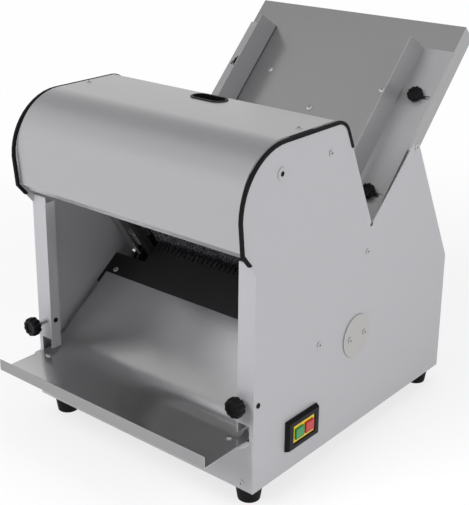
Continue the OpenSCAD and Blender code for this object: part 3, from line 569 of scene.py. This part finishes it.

# %% [markdown]
# ## Pivot bolts
# The hood turns on two bolts. Their flat heads are ringed and hold a round socket, so the outline is drawn
# once, along the axis and outwards in millimetres, and spun into a solid. Faces inside the socket are black:
# painted shade.

# %% Spun bolts with a socket
BOLT = [(259, 0), (259, 9), (265.5, 9), (265.5, 5), (269.5, 5), (269.5, 9), (278, 9), (278, 5), (280, 5),
        (280, 11.6), (281.4, 11.6), (282, 11), (282, 8.6), (281.4, 8), (281.8, 7.2), (281.8, 4.8),
        (280.4, 4.6), (280.4, 0)]
SOCKET = 5.0 * MM
BOLT_STEPS = 40
pivot = joints["hood_hinge"]["pos_m"]
for node, side in (("pivot_bolt_left", -1), ("pivot_bolt_right", 1)):
    shape = bmesh.new()
    outline = [shape.verts.new((side * x * MM, pivot[1] + r * MM, pivot[2])) for x, r in BOLT]
    edges = [shape.edges.new(pair) for pair in zip(outline, outline[1:])]
    bmesh.ops.spin(shape, geom=outline + edges, cent=pivot, axis=(1, 0, 0), angle=math.tau,
                   steps=BOLT_STEPS, use_merge=True)
    bmesh.ops.remove_doubles(shape, verts=shape.verts, dist=MERGE_DISTANCE)
    bmesh.ops.recalc_face_normals(shape, faces=shape.faces)
    for face in shape.faces:
        off = face.calc_center_median() - Vector(pivot)
        # Faces inside the socket take black, which is painted shade.
        face.material_index = int(abs(off.x) > PANEL_FACE and math.hypot(off.y, off.z) < SOCKET)
    piece = stand_in(node + "_spun", node, to_mesh(shape, node))
    piece.data.materials.append(finishes["black_plastic"])
print("pivot at", [round(c, 4) for c in pivot])

# %% [markdown]
# ## Bolts in the opening
# Bright bolts hold the two blade rails and the comb plate. The rails have hexagon heads: a cone with six
# sides, a little narrower at the top, with its upper edges broken by a bevel. The comb plate is held by the
# same screws as the sheets.

# %% One hexagon head, radius 1 and height 1
HEX_TOP, HEX_BEVEL, HEX_STEPS = 0.94, 0.12, 2
NEAR_TOP = 0.9


def hexagon_head():
    shape = bmesh.new()
    bmesh.ops.create_cone(shape, cap_ends=True, segments=6, radius1=1.0, radius2=HEX_TOP, depth=1.0)
    bmesh.ops.translate(shape, verts=shape.verts, vec=(0, 0, 0.5))
    top = [e for e in shape.edges if all(v.co.z > NEAR_TOP for v in e.verts)]
    bmesh.ops.bevel(shape, geom=top, offset=HEX_BEVEL, affect="EDGES", segments=HEX_STEPS, profile=0.5,
                    material=-1)
    return to_mesh(shape, "hexagon_head")


hexagon = hexagon_head()
print("hexagon head faces:", len(hexagon.polygons))

# %% Bolts on the rails and the comb
BLADE_LEAN = math.radians(32.9)
RAIL_FRONT = Vector((0, -math.cos(BLADE_LEAN), -math.sin(BLADE_LEAN)))
RAIL_UP = Vector((0, -math.sin(BLADE_LEAN), math.cos(BLADE_LEAN)))
RAIL_OUT, RAIL_FORE = 234 * MM, 33 * MM
RAIL_BOLTS_UP = (99 * MM, 390 * MM)
HEX_RADIUS, HEX_HIGH = 7 * MM, 5 * MM
crank = Vector(joints["crank_turn"]["pos_m"])
rail_face = crank + RAIL_FRONT * RAIL_FORE
rail_bolts = [(rail_face + Vector((side * RAIL_OUT, 0, 0)) + RAIL_UP * up, RAIL_FRONT)
              for side in (-1, 1) for up in RAIL_BOLTS_UP]
rail_heads = to_mesh(seated(hexagon, rail_bolts, HEX_RADIUS, HEX_HIGH), "rail_bolts")
fitted("rail_bolts", "guide_channel_left", rail_heads, "bright_steel")
COMB_LEAN = math.radians(37.0)
COMB_NORMAL = Vector((0, -math.sin(COMB_LEAN), math.cos(COMB_LEAN)))
COMB_THICK, COMB_BOLT_OUT, COMB_BOLT_BACK = 2 * MM, 248 * MM, 189 * MM
comb_high = Vector(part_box("discharge_comb")[1])
comb_edge_y = comb_high.y - COMB_THICK * math.sin(COMB_LEAN)
comb_top = Vector((0, FRONT + COMB_BOLT_BACK, 0))
comb_top.z = comb_high.z - (comb_edge_y - comb_top.y) * math.tan(COMB_LEAN)
comb_bolts = [(comb_top + Vector((side * COMB_BOLT_OUT, 0, 0)), COMB_NORMAL) for side in (-1, 1)]
comb_heads = to_mesh(seated(screw, comb_bolts, SCREW_RADIUS, SCREW_HIGH), "comb_bolts")
piece = fitted("comb_bolts", "discharge_comb", comb_heads, "bright_steel")
# Black for the cross recess: painted shade.
piece.data.materials.append(finishes["black_plastic"])
print("bolts:", len(rail_bolts) + len(comb_bolts), "comb height", round(comb_top.z, 4))

# %% [markdown]
# ## Toothed blades
# Bread blades have a wavy edge towards the loaf. Each blade starts as a thin grid; every second point of its
# rear edge steps back, and a solidify gives the strip its thickness. Small tabs hook the ends onto the frame.

# %% Two rows of blades
BLADE_WIDE, BLADE_THICK, TOOTH_DEEP, TEETH = 10 * MM, 0.6 * MM, 1.6 * MM, 45
TAB_WIDE, TAB_LONG = 8 * MM, 12 * MM


def blade_strip(length):
    shape = bmesh.new()
    bmesh.ops.create_grid(shape, x_segments=1, y_segments=2 * TEETH, size=0.5)
    bmesh.ops.scale(shape, vec=(BLADE_WIDE, length, 1), verts=shape.verts)
    step = length / (2 * TEETH)
    for vert in shape.verts:
        if vert.co.x > 0 and round((vert.co.y + length / 2) / step) % 2:
            vert.co.x -= TOOTH_DEEP
    bmesh.ops.solidify(shape, geom=shape.faces, thickness=BLADE_THICK)
    bmesh.ops.translate(shape, verts=shape.verts, vec=(0, 0, BLADE_THICK / 2))
    bmesh.ops.recalc_face_normals(shape, faces=shape.faces)
    return to_mesh(shape, "blade_strip")


for node, hook in (("front_blades", -1), ("rear_blades", 1)):
    solids = islands(node)
    reach = [c.dot(RAIL_UP) for c in solids[0]]
    length = max(reach) - min(reach)
    strip = blade_strip(length)
    shape = bmesh.new()
    for corners in solids:
        x = (min(c.x for c in corners) + max(c.x for c in corners)) / 2
        middle = Vector((x, crank.y, crank.z))
        middle += RAIL_UP * ((max(reach) + min(reach)) / 2 - crank.dot(RAIL_UP))
        turn = Matrix((-RAIL_FRONT, RAIL_UP, Vector((1, 0, 0)))).transposed().to_4x4()
        first = len(shape.verts)
        shape.from_mesh(strip)
        for end in (-0.5, 0.5):
            tab = bmesh.ops.create_cube(shape, size=1.0)["verts"]
            bmesh.ops.scale(shape, vec=(TAB_WIDE, TAB_LONG, BLADE_THICK), verts=tab)
            bmesh.ops.translate(shape, vec=(hook * TAB_WIDE / 2, end * (length - TAB_LONG), 0), verts=tab)
        shape.verts.ensure_lookup_table()
        bmesh.ops.transform(shape, matrix=Matrix.Translation(middle) @ turn, verts=shape.verts[first:])
    stand_in(node + "_toothed", node, to_mesh(shape, node))
    print(node, len(solids), "blades of", round(length, 4))

# %% [markdown]
# ## A white floor
# The photograph shows the machine on plain white. The floor is a pale matt sheet that glows for the rays that
# look at it. It glows less near the machine, so that the soft shadow there stays.

# %% White floor
FLOOR_SIZE = 12.0
FLOOR_TINT, FLOOR_ROUGH = (0.93, 0.93, 0.93), 0.9
GLOW_NEAR, GLOW_FAR = 0.72, 0.985
NEAR, FAR = 0.5, 2.2
floor_shape = bmesh.new()
bmesh.ops.create_grid(floor_shape, x_segments=1, y_segments=1, size=FLOOR_SIZE / 2)
floor_mesh = bpy.data.meshes.new("floor")
floor_shape.to_mesh(floor_mesh)
floor_shape.free()
floor = bpy.data.objects.new("floor", floor_mesh)
bpy.context.collection.objects.link(floor)
floor_finish, floor_shader, floor_place = open_finish("white_floor")
floor_tree = floor_place.tree
close_finish(floor_shader, floor_place, rgba(FLOOR_TINT), FLOOR_ROUGH)


def seen_rays(tree):
    """Three values, each 1 for one kind of ray: from the camera, off metal, through glass."""
    rays = tree.nodes.new("ShaderNodeLightPath")
    names = ("Is Camera Ray", "Is Glossy Ray", "Is Transmission Ray")
    return [Field(tree, rays.outputs[name]) for name in names]


def eased(value, low, high, start, end):
    """Runs from start to end while the value goes from low to high."""
    return value.node("ShaderNodeMapRange", {"interpolation_type": "SMOOTHSTEP"}, {
        "Value": value, "From Min": low, "From Max": high, "To Min": start, "To Max": end})


from_camera, off_metal, through_glass = seen_rays(floor_tree)
distance = floor_place.node("ShaderNodeVectorMath", {"operation": "LENGTH"}, {0: floor_place}, out=1)
glow = eased(distance, NEAR, FAR, GLOW_NEAR, GLOW_FAR)
whitened = (from_camera + off_metal + through_glass) * glow
white = floor_tree.nodes.new("ShaderNodeEmission")
blend = floor_tree.nodes.new("ShaderNodeMixShader")
floor_out = next(n for n in floor_tree.nodes if n.type == "OUTPUT_MATERIAL")
floor_tree.links.new(whitened.socket, blend.inputs[0])
floor_tree.links.new(floor_shader.outputs[0], blend.inputs[1])
floor_tree.links.new(white.outputs[0], blend.inputs[2])
floor_tree.links.new(blend.outputs[0], floor_out.inputs[0])
floor_mesh.materials.append(floor_finish)
print("floor:", FLOOR_SIZE, "m")

# %% [markdown]
# ## World
# The world is white where the camera looks. Metal mirrors it too, but overhead it dims, as a room does, and
# that fall is what draws the light and dark bands on a round steel hood. All other light from it is weaker.

# %% World
FRONT_SKY, REAR_SKY = -0.30, 0.12
LOW_SKY, HIGH_SKY = 0.28, 0.66
AMBIENT = 0.30
OVERHEAD_REAR = 0.30
OVERHEAD_FRONT = 0.70
world = bpy.data.worlds.new("white_studio")
bpy.context.scene.world = world
world.use_nodes = True
world_tree = world.node_tree
world_tree.nodes.clear()
from_camera, off_metal, through_glass = seen_rays(world_tree)
direction = Field(world_tree, world_tree.nodes.new("ShaderNodeTexCoord").outputs["Generated"])
depth = direction.node("ShaderNodeSeparateXYZ", None, {0: direction}, out=1)
height = direction.node("ShaderNodeSeparateXYZ", None, {0: direction}, out=2)
overhead = eased(depth, FRONT_SKY, REAR_SKY, OVERHEAD_FRONT, OVERHEAD_REAR)
rise = eased(height, LOW_SKY, HIGH_SKY, 0.0, 1.0)
mirrored = 1 - rise * (1 - overhead)
indirect = off_metal * (mirrored - AMBIENT) + AMBIENT
clear = from_camera + through_glass
strength = clear * (1 - indirect) + indirect
sky = world_tree.nodes.new("ShaderNodeBackground")
sky.inputs["Color"].default_value = (1, 1, 1, 1)
world_tree.links.new(strength.socket, sky.inputs["Strength"])
world_out = world_tree.nodes.new("ShaderNodeOutputWorld")
world_tree.links.new(sky.outputs[0], world_out.inputs[0])
print("world:", AMBIENT, OVERHEAD_FRONT, OVERHEAD_REAR)

# %% [markdown]
# ## Lamps
# Three large discs light the machine softly from the front left, the right and above. A small one under the
# hood shines up at its pale inside, which lights the tray. None of them shows in the picture or in the metal.

# %% Soft lamps
LAMP_TINT = (0.985, 0.98, 1.02)
HALF_SPHERE = 180.0


def soft_lamp(name, place, aim, size, power, spread=HALF_SPHERE):
    lamp = bpy.data.lights.new(name, "AREA")
    lamp.shape = "DISK"
    lamp.size = size
    lamp.energy = power
    lamp.spread = math.radians(spread)
    lamp.color = LAMP_TINT
    holder = bpy.data.objects.new(name, lamp)
    bpy.context.collection.objects.link(holder)
    holder.location = place
    holder.rotation_euler = (Vector(aim) - Vector(place)).to_track_quat("-Z", "Y").to_euler()
    holder.visible_glossy = False
    holder.visible_camera = False
    return holder


middle = (0.0, 0.0, 0.4)
soft_lamp("key", (-0.6, -2.6, 2.2), middle, 1.6, 70.0)
soft_lamp("right_fill", (2.6, -0.2, 1.7), middle, 1.8, 36.0)
soft_lamp("top", (0.2, 0.6, 3.0), middle, 1.8, 24.0)
soft_lamp("under_hood", (0.0, -0.20, 0.37), (0.0, -0.20, 1.0), 0.3, 2.2, 125.0)

# %% [markdown]
# ## Camera
# The camera stands where straight edges of the photograph put it. It is turned around, tilted down and rolled
# a little, and a small shift moves the picture up without tilting the upright edges.

# %% Camera at the photograph's place
PHOTO_HEIGHT = 505
CAMERA_PLACE = (1.292, -1.59152, 1.159)
CAMERA_TURN = (39.543, 19.151, 0.619)
FOCAL_PIXELS = 1077.8
PRINCIPAL_ROW = 200.0
SENSOR = 36.0


def aim_camera(holder, place, turn):
    around, down, roll = (math.radians(a) for a in turn)
    ahead = Vector((-math.sin(around) * math.cos(down), math.cos(around) * math.cos(down), -math.sin(down)))
    right = ahead.cross(Vector((0, 0, 1))).normalized()
    up = right.cross(ahead)
    across = math.cos(roll) * right + math.sin(roll) * up
    above = -math.sin(roll) * right + math.cos(roll) * up
    holder.matrix_world = Matrix.Translation(place) @ Matrix((across, above, -ahead)).transposed().to_4x4()


camera = bpy.data.cameras.new("photo_view")
camera.sensor_width = SENSOR
camera.lens = FOCAL_PIXELS * SENSOR / PHOTO_HEIGHT
camera.shift_y = (PRINCIPAL_ROW - PHOTO_HEIGHT / 2) / PHOTO_HEIGHT
camera_holder = bpy.data.objects.new("photo_view", camera)
bpy.context.collection.objects.link(camera_holder)
aim_camera(camera_holder, CAMERA_PLACE, CAMERA_TURN)
bpy.context.scene.camera = camera_holder
bpy.context.scene.view_settings.view_transform = "Standard"
print("lens:", round(camera.lens, 2), "shift:", round(camera.shift_y, 4))
